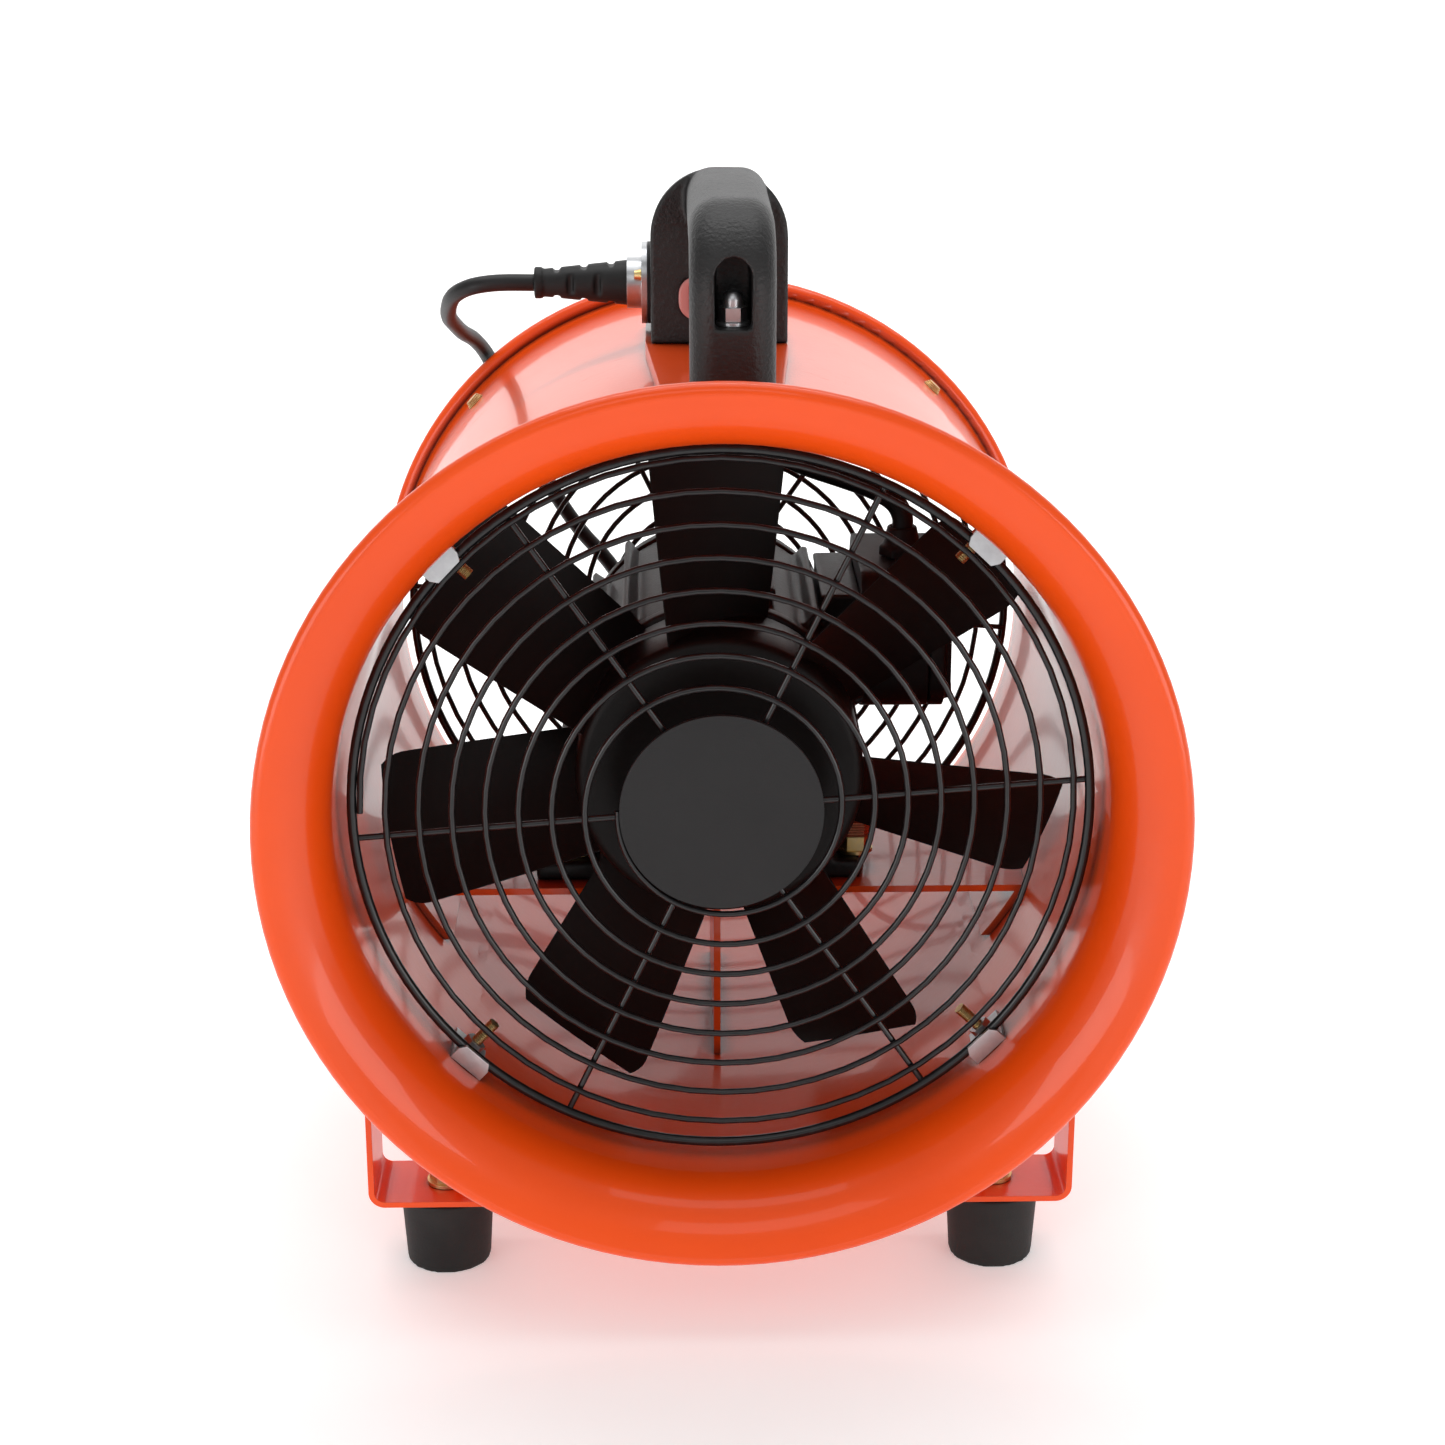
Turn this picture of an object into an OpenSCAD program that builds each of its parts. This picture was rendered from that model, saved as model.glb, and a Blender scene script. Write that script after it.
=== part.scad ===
// Portable axial ventilator: a sheet steel duct with a bellmouth, two spiral
// wire guards, a foot mounted motor with a seven blade impeller, a moulded
// carry handle with a rocker switch, and a mains lead.
// The fan axis runs along Y; air enters at the front, which faces -Y.
// The floor is z = 0.

/* [Duct] */
// Inside diameter of the duct
duct_d = 308; // [300:1:330]
// Thickness of the duct sheet
duct_wall = 2; // [1.5:0.1:2.5]
// Length from the bellmouth lip to the end of the rear rim
duct_length = 357; // [340:1:430]
// Radius of the bellmouth curve
bell_r = 30; // [24:1:32]
// How far the bellmouth curve turns
bell_turn = 78; // [70:1:82]
// Radius of the rolled edge of the bellmouth
lip_r = 4; // [3.5:0.1:5]
// Radius of the flare in front of the rear bead
flare_r = 8; // [7:0.5:9]
// Radius of the rear bead
bead_r = 4; // [3.5:0.1:4.2]

/* [Stand] */
// Height of the rubber feet
foot_h = 32.5; // [25:0.5:40]
// Diameter of a foot at its top
foot_d = 40; // [34:1:40]
// Diameter of a foot at the floor
foot_base_d = 36; // [30:1:36]
// Gap from the duct to the underside of the stands
stand_gap = 29; // [20:0.5:60]
// How far the sides of the straps lie inside the duct's side
stand_inset = 6; // [3:0.5:16]
// Length of each stand strap along the fan axis
strap_w = 38; // [34:1:50]
// Thickness of the strap
strap_t = 2.5; // [2:0.1:3]
// Outside bend radius of the strap
strap_bend = 7; // [5:0.5:10]
// Side of the stand to the middle of a foot
foot_inset = 32; // [28:1:45]
// Lip to the middle of the front stand
front_stand_d = 78; // [74:1:100]
// Lip to the middle of the rear stand
rear_stand_d = 292; // [270:1:310]

/* [Guards] */
// Gap between the guard ring and the duct
guard_gap = 4; // [2:0.5:6]
// Wire diameter of the guard ring
ring_wire = 4; // [3:0.1:5]
// Wire diameter of the spiral and spokes
spiral_wire = 2.6; // [2:0.1:3]
// Radial growth of the spiral in one turn
spiral_pitch = 13.3; // [12:0.1:16]
// Half turns in the spiral
spiral_halves = 16; // [14:1:16]
// Number of spokes
spokes = 6; // [4:1:8]
// Diameter of the centre disc
disc_d = 82; // [76:1:92]
// Lip to the middle of the front guard
guard_in = 44.5; // [40:0.5:50]
// Rear end of the duct to the middle of the rear guard
guard_out = 18; // [16:0.5:24]

/* [Motor] */
// Height of the motor axis above the shelf
motor_axis_h = 71; // [68:1:80]
// Thickness of the motor shelf
shelf_t = 3; // [2.5:0.1:4]
// Length of the motor shelf
shelf_len = 124; // [116:1:140]
// Outside radius of the motor barrel
motor_r = 60; // [58:0.5:61]
// Height of the cooling ribs
rib_h = 8; // [4:0.5:9]
// Length of the motor barrel
motor_len = 122; // [115:1:130]
// Shaft diameter
shaft_d = 14; // [12:0.5:19]

/* [Impeller] */
// Gap between the blade tips and the duct
tip_gap = 10; // [6:0.5:16]
// Hub diameter
hub_d = 120; // [110:1:122]
// Hub length
hub_len = 45; // [40:1:46]
// Number of blades
blades = 7; // [5:1:8]
// Chord at the hub
root_chord = 60; // [48:1:62]
// Chord at the tip
tip_chord = 68; // [60:1:74]
// Blade angle at the hub
root_angle = 45; // [35:1:48]
// Blade angle at the tip
tip_angle = 30; // [20:1:32]
// Blade thickness
blade_t = 2.6; // [2:0.1:3.5]
// Lip to the front face of the hub
hub_in = 82; // [78:0.5:84]

/* [Handle] */
// Height of the grip above the duct
grip_h = 80.5; // [74:0.5:90]
// Width of the grip
grip_w = 34; // [30:0.5:38]
// Depth of the grip section
grip_t = 28; // [25:0.5:30]
// Corner radius of the grip section
grip_r = 11; // [8:0.5:12]
// Offset of the grip from the centre plane
grip_x = 5; // [-6:0.5:6]
// Inside bend radius of the grip
grip_bend = 6; // [5:0.5:8]
// Lip to the front of the grip's leg
leg_in = 64; // [60:1:72]
// Width of the switch box
box_w = 59; // [56:0.5:62]
// Length of the switch box
box_len = 80; // [76:1:90]
// Lip to the front of the switch box
box_in = 189; // [184:1:194]
// Wall of the switch box
box_wall = 2.5; // [2:0.1:3]
// Height of the handle bracket above the duct
bracket_h = 5; // [4.5:0.5:8]

/* [Lead] */
// Diameter of the mains lead
cord_d = 7.5; // [6.5:0.1:8]
// Length of the strain relief
relief_len = 41; // [30:1:46]

/* [Fits] */
// Running clearance of a shaft in its bearing, on the radius
run_gap = 0.05; // [0.02:0.01:0.1]
// Clearance between parts that are seated on each other
seat_gap = 0.2; // [0.1:0.05:0.3]
// Clearance of a bolt in its hole, on the radius
bolt_gap = 0.25; // [0.15:0.05:0.4]

/* [Hidden] */
$fn = 72;

// Places that follow from the driving dimensions
front_y = -duct_length / 2;
r_in = duct_d / 2;
r_out = r_in + duct_wall;
stand_drop = r_out + stand_gap;
stand_w = 2 * (r_out - stand_inset);
strap_top = sqrt(pow(r_out + seat_gap, 2) - pow(stand_w / 2, 2)) + seat_gap;
foot_x = stand_w / 2 - foot_inset;
axis_z = foot_h + stand_drop;
curve = bell_r - lip_r;
throat = curve * sin(bell_turn) + lip_r;
lip_c = r_in + bell_r - curve * cos(bell_turn);
flare_turn = 63;
flare_mid = flare_r + duct_wall / 2;
bead_c = r_out + flare_r - flare_mid * cos(flare_turn);
flare_start = duct_length - bead_r - flare_mid * sin(flare_turn);
back_guard = duct_length - guard_out;
ring_r = r_in - guard_gap - ring_wire / 2;
ring_back = 1;
inner_ring = 36;
clip_angle = 46.5;
clip_reach = 15;
clip_w = 16;
clip_t = 1.5;
clip_lip = 8;
clip_screw = 4.8;
clip_screw_len = 17;
impeller_d = duct_d - 2 * tip_gap;
shelf_in = hub_in + 56;
shelf_z = -motor_axis_h;
motor_in = shelf_in + 2;
bell_face = motor_in - 9;
bore_r = motor_r - 8;
bearing_r = 17.5;
rotor_r = 34;
core_in = motor_in + 26;
core_len = 70;
motor_back = motor_in + motor_len;
head_sink = 3.2;
shaft_in = hub_in + 4;
shaft_back = motor_back + 12;
bolt_x = 62;
bolt_in = 24;
boss_r = 16;
leg_back = leg_in + grip_t;
handle_bolt_in = leg_in + 12;
grip_top = r_out + grip_h;
bracket_top = r_out + bracket_h;
recess_z = r_out + 34;
recess_w = 14.5;
box_x = grip_x - 3;
box_r = box_w / 2;
box_drop = 10.5;
slice_t = 0.1;
box_floor = bracket_top + seat_gap;
box_left = box_x - box_r;
gland_in = box_in + 40;
switch_z = r_out + 25;
gland_z = switch_z;
rocker_tilt = 8;
cap_x = motor_r + 4;
cap_in = motor_in + 26;
cap_len = 90;
cap_low = 0;
cap_high = 62;
cap_deep = 30;
cable_d = 9.5;
cable_x = 10;
cable_in = box_in + 20;
cap_gland = [cap_x + 20, cap_in + 38];

// Depth behind the bellmouth lip, as a Y coordinate
function fy(d) = front_y + d;

// Puts a turned shape on the fan axis: its Z runs to the rear from depth d
module along(d = 0) {
    translate([0, fy(d), axis_z]) rotate([-90, 0, 0]) children();
}

// Puts a flat shape across the fan axis at depth d: its Z runs to the front
module facing(d) {
    translate([0, fy(d), axis_z]) rotate([90, 0, 0]) children();
}

// Turns Z to point outwards from the fan axis at angle a and depth d
module outwards(a, d) {
    translate([0, fy(d), axis_z]) rotate([0, 90 - a, 0]) children();
}

// Places something at x, depth d and height h above the fan axis
module spot(x, d, h) {
    translate([x, fy(d), axis_z + h]) children();
}

// A block centred on x, from depth d0 to d1 and from height h0 to h1
module slab(x, w, d0, d1, h0, h1) {
    spot(x - w / 2, d0, h0) cube([w, d1 - d0, h1 - h0]);
}

module tube(r1, r0, h) {
    difference() {
        cylinder(r = r1, h = h);
        translate([0, 0, -1]) cylinder(r = r0, h = h + 2);
    }
}

// Regular hexagon prism across flats af
module hex(af, h) {
    cylinder(d = af / cos(30), h = h, $fn = 6);
}

// Rectangle with round corners
module round_rect(w, h, r) {
    square([w - 2 * r, h], center = true);
    square([w, h - 2 * r], center = true);
    for (x = [-1, 1], y = [-1, 1])
        translate([x * (w / 2 - r), y * (h / 2 - r)]) circle(r);
}

// ---- duct ----

module wall_holes() {
    for (k = [0:3]) {
        outwards(clip_angle + 90 * k, guard_in + clip_reach)
            translate([0, 0, r_in - 5]) cylinder(d = clip_screw + 2 * bolt_gap, h = 12);
        outwards(clip_angle + 90 * k, back_guard - clip_reach)
            translate([0, 0, r_in - 5]) cylinder(d = clip_screw + 2 * bolt_gap, h = 12);
    }
    spot(cable_x, cable_in, r_in - 6) cylinder(r = cable_d / 2 + 2, h = 12);
}

module duct_section() {
    far = 2 * bell_r;
    polygon([[r_in, throat], [r_out, throat], [r_out, flare_start], [r_in, flare_start]]);
    intersection() {
        translate([r_in + bell_r, throat]) difference() {
            circle(bell_r, $fn = 180);
            circle(bell_r - duct_wall, $fn = 180);
        }
        translate([r_in + bell_r, throat]) polygon([[0, 0], [-far, 0], [-far, -far],
            [-far * cos(bell_turn), -far * sin(bell_turn)]]);
    }
    intersection() {
        translate([lip_c, lip_r]) difference() {
            circle(lip_r);
            circle(lip_r - duct_wall);
        }
        translate([r_in + bell_r, throat]) polygon([[0, 0], [-far * cos(bell_turn), -far * sin(bell_turn)],
            [far, -far], [far, 0]]);
    }
    intersection() {
        translate([r_out + flare_r, flare_start]) difference() {
            circle(flare_r + duct_wall);
            circle(flare_r);
        }
        translate([r_out + flare_r, flare_start]) polygon([[0, 0], [-far, 0], [-far, far],
            [-far * cos(flare_turn), far * sin(flare_turn)]]);
    }
    translate([bead_c, duct_length - bead_r]) circle(bead_r);
}

module duct_housing() {
    color("orangered") difference() {
        along() rotate_extrude($fn = 180) duct_section();
        wall_holes();
    }
}

module motor_shelf() {
    lip_h = 24;
    edge_r = r_in - seat_gap;
    color("orangered") difference() {
        along(shelf_in) intersection() {
            cylinder(r = edge_r, h = shelf_len, $fn = 180);
            union() {
                translate([-r_in, motor_axis_h, 0]) cube([2 * r_in, shelf_t, shelf_len]);
                difference() {
                    translate([-r_in, motor_axis_h, 0]) cube([2 * r_in, lip_h, shelf_len]);
                    translate([0, 0, -1]) cylinder(r = edge_r - shelf_t, h = shelf_len + 2, $fn = 180);
                }
            }
        }
        for (x = [-1, 1], k = [0, 1])
            spot(x * bolt_x, shelf_in + bolt_in + k * (shelf_len - 2 * bolt_in), shelf_z - 10)
                cylinder(d = 8 + 2 * bolt_gap, h = 12);
    }
}

module shelf_rib() {
    color("orangered") along(shelf_in + 4) intersection() {
        translate([-1.5, motor_axis_h + shelf_t + seat_gap, 0]) cube([3, r_in, shelf_len - 8]);
        cylinder(r = r_in - seat_gap, h = shelf_len, $fn = 180);
    }
}

// ---- stands and feet ----

module strap_section() {
    h = stand_drop - strap_top;
    difference() {
        translate([0, -stand_drop + h]) round_rect(stand_w, 2 * h, strap_bend);
        translate([0, -stand_drop + h])
            round_rect(stand_w - 2 * strap_t, 2 * (h - strap_t), strap_bend - strap_t);
        translate([-stand_w, -stand_drop + h]) square([2 * stand_w, 2 * h]);
    }
}

module stand(d) {
    color("orangered") difference() {
        facing(d) translate([0, 0, -strap_w / 2]) linear_extrude(strap_w) strap_section();
        along(d - strap_w) cylinder(r = r_out + seat_gap, h = 2 * strap_w, $fn = 180);
        for (x = [-1, 1]) spot(x * foot_x, d, -stand_drop - 5) cylinder(d = 8 + 2 * bolt_gap, h = 12);
    }
}

module front_stand() { stand(front_stand_d); }
module rear_stand() { stand(rear_stand_d); }

module foot(x, d) {
    color("black") translate([x, fy(d), 0]) difference() {
        cylinder(r1 = foot_base_d / 2, r2 = foot_d / 2, h = foot_h - seat_gap);
        translate([0, 0, -1]) cylinder(d = 20, h = 13);
        cylinder(d = 8 + 2 * bolt_gap, h = foot_h + 1);
    }
}

module foot_front_left() { foot(-foot_x, front_stand_d); }
module foot_front_right() { foot(foot_x, front_stand_d); }
module foot_rear_left() { foot(-foot_x, rear_stand_d); }
module foot_rear_right() { foot(foot_x, rear_stand_d); }

module at_feet() {
    for (x = [-1, 1], d = [front_stand_d, rear_stand_d])
        translate([x * foot_x, fy(d), 0]) children();
}

module foot_bolts() {
    color("goldenrod") at_feet() {
        translate([0, 0, 6.5]) hex(13, 5.3);
        translate([0, 0, 11]) cylinder(d = 8, h = foot_h + strap_t + 10 - 11);
    }
}

module foot_nuts() {
    color("goldenrod") at_feet() translate([0, 0, foot_h + strap_t + seat_gap]) difference() {
        union() {
            cylinder(d = 17, h = 1.6);
            hex(13, 8);
        }
        translate([0, 0, -1]) cylinder(d = 8 + 2 * run_gap, h = 12);
    }
}

// ---- guards ----

function turn_r(j) = ring_r - (spiral_halves - j) * spiral_pitch / 2;
last_turn = ring_r - (ring_wire + spiral_wire) / 2 - run_gap;

module half_turn(r0, r1, lower) {
    translate([(lower ? 1 : -1) * (r1 - r0) / 2, 0, 0]) rotate([0, 0, lower ? 180 : 0])
        rotate_extrude(angle = 180) translate([(r0 + r1) / 2, 0]) circle(d = spiral_wire, $fn = 24);
}

module wire_ring(r, d) {
    rotate_extrude() translate([r, 0]) circle(d = d, $fn = 24);
}

module guard() {
    drop = spiral_wire - 0.3;
    translate([0, 0, -ring_back]) wire_ring(ring_r, ring_wire);
    wire_ring(inner_ring, spiral_wire);
    for (j = [0:spiral_halves - 2]) half_turn(turn_r(j), turn_r(j + 1), j % 2 == 0);
    half_turn(turn_r(spiral_halves - 1), last_turn, spiral_halves % 2 == 1);
    for (k = [0:spokes - 1]) rotate([0, 0, 4.5 + 360 / spokes * k])
        translate([inner_ring - 4, 0, -drop]) rotate([0, 90, 0])
            cylinder(d = spiral_wire, h = ring_r - inner_ring + 4, $fn = 24);
}

module guard_disc() {
    translate([0, 0, spiral_wire / 2 + seat_gap]) cylinder(d = disc_d, h = 2);
}

module to_rear() { rotate([0, 180, 0]) children(); }

module front_guard() { color("black") facing(guard_in) guard(); }
module front_guard_disc() { color("dimgray") facing(guard_in) guard_disc(); }
module rear_guard() { color("black") facing(back_guard) to_rear() guard(); }
module rear_guard_disc() { color("dimgray") facing(back_guard) to_rear() guard_disc(); }

// A sheet metal hook along the wall, folded inwards over the guard ring;
// side is -1 where the hook points to the front and 1 where it points to the rear
module clip(a, d, side) {
    base_r = sqrt(pow(r_in - 0.1, 2) - pow(clip_w / 2, 2));
    hook = clip_reach + max(ring_wire / 2 - ring_back, spiral_wire / 2) + seat_gap;
    outwards(a, d) mirror([0, side < 0 ? 1 : 0, 0]) difference() {
        union() {
            translate([-clip_w / 2, -8, base_r - clip_t]) cube([clip_w, hook + 8 + clip_t, clip_t]);
            translate([0, hook + clip_t, base_r]) rotate([90, 0, 0]) linear_extrude(clip_t)
                polygon([[-clip_w / 2, 0], [-clip_w / 2, -clip_lip + 3], [-clip_w / 2 + 2, -clip_lip],
                    [clip_w / 2 - 2, -clip_lip], [clip_w / 2, -clip_lip + 3], [clip_w / 2, 0]]);
        }
        translate([0, 0, r_in - 10]) cylinder(d = clip_screw + 2 * bolt_gap, h = 14);
    }
}

module front_guard_clips() {
    color("silver") for (k = [0:3]) clip(clip_angle + 90 * k, guard_in + clip_reach, -1);
}

module rear_guard_clips() {
    color("silver") for (k = [0:3]) clip(clip_angle + 90 * k, back_guard - clip_reach, 1);
}

module at_clips() {
    for (k = [0:3], d = [guard_in + clip_reach, back_guard - clip_reach])
        outwards(clip_angle + 90 * k, d) children();
}

module clip_screws() {
    color("goldenrod") at_clips() {
        translate([0, 0, r_in - clip_screw_len])
            cylinder(d = clip_screw, h = clip_screw_len + duct_wall + 0.5);
        translate([0, 0, r_out + 0.1]) cylinder(r1 = 4.6, r2 = 3.4, h = 2.6);
    }
}

module clip_nuts() {
    base_r = sqrt(pow(r_in - 0.1, 2) - pow(clip_w / 2, 2));
    color("silver") at_clips() translate([0, 0, base_r - clip_t - seat_gap - 4]) difference() {
        hex(8, 4);
        translate([0, 0, -1]) cylinder(d = clip_screw + 2 * run_gap, h = 6);
    }
}

// ---- motor ----

module motor_holes(r, h) {
    for (x = [-1, 1], k = [0, 1])
        spot(x * bolt_x, shelf_in + bolt_in + k * (shelf_len - 2 * bolt_in), shelf_z - h / 2)
            cylinder(r = r, h = h);
}

module bell_screw_holes(r, d, h) {
    for (k = [0:3]) along(d) rotate([0, 0, 45 + 90 * k])
        translate([motor_r - 4, 0, 0]) cylinder(r = r, h = h);
}

module motor_body() {
    foot_top = shelf_z + 8;
    color([0.09, 0.09, 0.1]) difference() {
        union() {
            along(motor_in) cylinder(r = motor_r, h = motor_len);
            for (k = [0:12]) along(motor_in + 4) rotate([0, 0, -202 + 19 * k])
                translate([motor_r - 2, -1.75, 0]) cube([rib_h + 2, 3.5, motor_len - 8]);
            for (x = [-1, 1]) {
                slab(x * bolt_x, 36, shelf_in + 10, shelf_in + shelf_len - 10, shelf_z + seat_gap, foot_top);
                slab(x * (bolt_x - 14), 8, shelf_in + 10, shelf_in + shelf_len - 10, shelf_z + seat_gap, -30);
            }
            slab((cap_x + motor_r - 14) / 2 + 4, cap_x - motor_r + 20, cap_in + 8, cap_in + cap_len - 8,
                cap_low + 10, cap_high - 10);
        }
        along(motor_in - 1) cylinder(r = bore_r, h = motor_len + 2);
        spot(cap_x, 0, 0) translate([-seat_gap, 0, -100]) cube([60, 400, 200]);
        motor_holes(4 + bolt_gap, 40);
        bell_screw_holes(2.1, motor_in - 1, 20);
        bell_screw_holes(2.1, motor_back - 19, 20);
    }
}

module end_bell() {
    difference() {
        union() {
            cylinder(r = motor_r + 1, h = 9 - seat_gap);
            cylinder(r = bore_r - 0.1, h = 15);
            translate([0, 0, -2]) cylinder(r = bearing_r + 6, h = 22);
        }
        translate([0, 0, 12]) difference() {
            cylinder(r = bore_r - 4, h = 10);
            translate([0, 0, -1]) cylinder(r = bearing_r + 6, h = 12);
        }
        translate([0, 0, 6]) cylinder(r = bearing_r + run_gap, h = 20);
        translate([0, 0, -5]) cylinder(d = shaft_d + 2, h = 40);
        for (k = [0:3]) rotate([0, 0, 45 + 90 * k]) translate([motor_r - 4, 0, 0]) {
            translate([0, 0, -1]) cylinder(r = 2 + bolt_gap, h = 20);
            translate([0, 0, -3]) cylinder(r = 4 + bolt_gap, h = 3 + head_sink);
        }
    }
}

module motor_front_bell() { color([0.09, 0.09, 0.1]) along(bell_face) end_bell(); }
module motor_rear_bell() {
    color([0.09, 0.09, 0.1]) along(motor_back + 9) rotate([180, 0, 0]) end_bell();
}

module end_bell_screws() {
    color("silver") for (k = [0:3]) {
        along(bell_face) rotate([0, 0, 45 + 90 * k]) translate([motor_r - 4, 0, head_sink]) screw(4, 2, 20);
        along(motor_back + 9) rotate([180, 0, 0]) rotate([0, 0, 45 + 90 * k])
            translate([motor_r - 4, 0, head_sink]) screw(4, 2, 20);
    }
}

// A pan head screw whose head stands at z < 0 and whose shank runs up from z = 0
module screw(head_r, r, len) {
    translate([0, 0, -3 - run_gap]) cylinder(r1 = head_r * 0.75, r2 = head_r, h = 3);
    translate([0, 0, -1]) cylinder(r = r - run_gap, h = len + 1);
}

module motor_bolts() {
    color("goldenrod") for (x = [-1, 1], k = [0, 1]) if (x < 0 || k == 1)
        spot(x * bolt_x, shelf_in + bolt_in + k * (shelf_len - 2 * bolt_in), shelf_z - shelf_t) {
            translate([0, 0, -5.5]) hex(13, 5.3);
            translate([0, 0, -1]) cylinder(d = 8, h = 24);
        }
}

module earth_stud() {
    color("peru") spot(bolt_x, shelf_in + bolt_in, shelf_z - shelf_t) {
        translate([0, 0, -5.5]) hex(13, 5.3);
        translate([0, 0, -1]) cylinder(d = 8, h = 42);
        translate([0, 0, shelf_t + 16 + 3 * seat_gap]) difference() {
            hex(13, 6.5);
            translate([0, 0, -1]) cylinder(d = 8 + 2 * run_gap, h = 9);
        }
    }
}

module motor_nuts() {
    color("goldenrod") for (x = [-1, 1], k = [0, 1])
        spot(x * bolt_x, shelf_in + bolt_in + k * (shelf_len - 2 * bolt_in), shelf_z + 8 + seat_gap)
        difference() {
            union() {
                cylinder(d = 16, h = 1.6);
                hex(13, 8);
            }
            translate([0, 0, -1]) cylinder(d = 8 + 2 * run_gap, h = 12);
        }
}

module stator_core() {
    color("gray") along(core_in) difference() {
        tube(bore_r - 0.1, rotor_r + 0.5, core_len);
        for (k = [0:23]) rotate([0, 0, 15 * k]) translate([rotor_r, -1.2, -1]) cube([12, 2.4, core_len + 2]);
    }
}

module stator_windings() {
    color("peru") for (d = [core_in - 14, core_in + core_len + seat_gap])
        along(d) tube(bore_r - 3, rotor_r + 3, 14 - seat_gap);
}

module bearing() { tube(bearing_r, shaft_d / 2 + run_gap, 12); }
module front_bearing() { color("silver") along(bell_face + 6.2) bearing(); }
module rear_bearing() { color("silver") along(motor_back + 9 - 6.2 - 12) bearing(); }

// ---- impeller ----

function blade_r(s, n) = hub_d / 2 - 2 + (impeller_d / 2 - hub_d / 2 + 2) * s / n;
function mix(a, b, t) = a + (b - a) * t;

// One corner of a blade section: s of n steps out, u along the chord, side of the skin
function blade_point(s, n, u, side) =
    let (r = blade_r(s, n), t = s / n,
         chord = mix(root_chord, tip_chord, t), pitch = mix(root_angle, tip_angle, t),
         camber = 4 * (1 - 4 * u * u), thin = blade_t * (1 - 3 * u * u) / 2,
         across = chord * u * cos(pitch) + (camber + side * thin) * sin(pitch),
         depth = -chord * u * sin(pitch) + (camber + side * thin) * cos(pitch),
         a = across / r * 180 / PI)
    [r * cos(a), r * sin(a), -depth];

module blade() {
    n = 6;
    m = 8;
    loop = 2 * (m + 1);
    points = [for (s = [0:n], i = [0:loop - 1])
        i <= m ? blade_point(s, n, i / m - 0.5, 1) : blade_point(s, n, (loop - 1 - i) / m - 0.5, -1)];
    sides = [for (s = [0:n - 1], i = [0:loop - 1], h = [0, 1])
        let (a = s * loop + i, b = s * loop + (i + 1) % loop)
        h == 0 ? [a, b + loop, b] : [a, a + loop, b + loop]];
    caps = [for (i = [0:m - 1], h = [0, 1], e = [0, n])
        let (p = e * loop + i, q = e * loop + i + 1, w = e * loop + loop - 2 - i, v = e * loop + loop - 1 - i)
        e == 0 ? (h == 0 ? [p, q, w] : [p, w, v]) : (h == 0 ? [p, w, q] : [p, v, w])];
    polyhedron(points, concat(sides, caps));
}

module impeller() {
    color([0.07, 0.07, 0.08]) difference() {
        union() {
            along(hub_in) difference() {
                cylinder(d = hub_d, h = hub_len);
                translate([0, 0, 5]) tube(hub_d / 2 - 4, boss_r, hub_len);
            }
            for (k = [0:blades - 1]) facing(hub_in + hub_len / 2 + 2)
                rotate([0, 0, 90 + 360 / blades * k]) blade();
        }
        along(shaft_in) cylinder(r = shaft_d / 2 + 0.02, h = hub_len);
        along(hub_in - 1) cylinder(r = 3 + bolt_gap, h = 10);
        slab(0, 5.1, shaft_in + 2, shaft_in + hub_len + 1, 0, shaft_d / 2 + 2.6);
    }
}

module hub_bolt() {
    color("silver") along(hub_in) {
        translate([0, 0, -2 - seat_gap]) cylinder(r = 9, h = 2);
        translate([0, 0, -6]) hex(10, 4.5);
        translate([0, 0, -1]) cylinder(r = 3, h = 22);
    }
}

module motor_shaft() {
    color("silver") difference() {
        along(shaft_in + 0.2) cylinder(d = shaft_d, h = shaft_back - shaft_in);
        along(hub_in) cylinder(r = 3.02, h = 24);
        slab(0, 5.1, shaft_in - 1, shaft_in + 33, shaft_d / 2 - 3, shaft_d);
    }
}

module shaft_key() {
    color("gray") slab(0, 5, shaft_in + 3, shaft_in + 32, shaft_d / 2 - 2.9, shaft_d / 2 + 2.4);
}

module rotor_core() {
    color("gray") along(core_in) tube(rotor_r, shaft_d / 2 + 0.02, core_len);
}

// ---- capacitor box and cable ----

module cap_block(x, grow, h) {
    spot(x, cap_in + cap_len / 2, (cap_low + cap_high) / 2) rotate([0, 90, 0])
        linear_extrude(h) round_rect(cap_high - cap_low + 2 * grow, cap_len + 2 * grow, 14 + grow);
}

module at_lid_screws(x) {
    for (u = [-1, 1], v = [-1, 1])
        spot(x, cap_in + cap_len / 2 + v * (cap_len / 2 - 9),
            (cap_low + cap_high) / 2 + u * ((cap_high - cap_low) / 2 - 9)) rotate([0, -90, 0]) children();
}

module capacitor_box() {
    color([0.08, 0.08, 0.09]) difference() {
        cap_block(cap_x, 0, cap_deep);
        difference() {
            cap_block(cap_x + 3, -3, cap_deep);
            at_lid_screws(cap_x + cap_deep) cylinder(r = 5, h = cap_deep);
        }
        at_lid_screws(cap_x + cap_deep + 1) cylinder(r = 1.6 + bolt_gap, h = 16);
        spot(cap_gland[0], cap_gland[1], cap_high - 5) cylinder(r = 6 + bolt_gap, h = 10);
    }
}

module capacitor_lid() {
    x = cap_x + cap_deep + seat_gap;
    color([0.08, 0.08, 0.09]) difference() {
        union() {
            cap_block(x, 0, 7);
            cap_block(x, -3, 10);
        }
        difference() {
            cap_block(x - 1, -6, 8);
            at_lid_screws(x + 8) cylinder(r = 5, h = 12);
        }
        at_lid_screws(x + 12) cylinder(r = 1.6 + bolt_gap, h = 16);
        at_lid_screws(x + 12) cylinder(r = 3.6, h = 4.5);
    }
}

module capacitor_lid_screws() {
    color("silver") at_lid_screws(cap_x + cap_deep + seat_gap + 7.5) screw(3, 1.6, 18);
}

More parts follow.
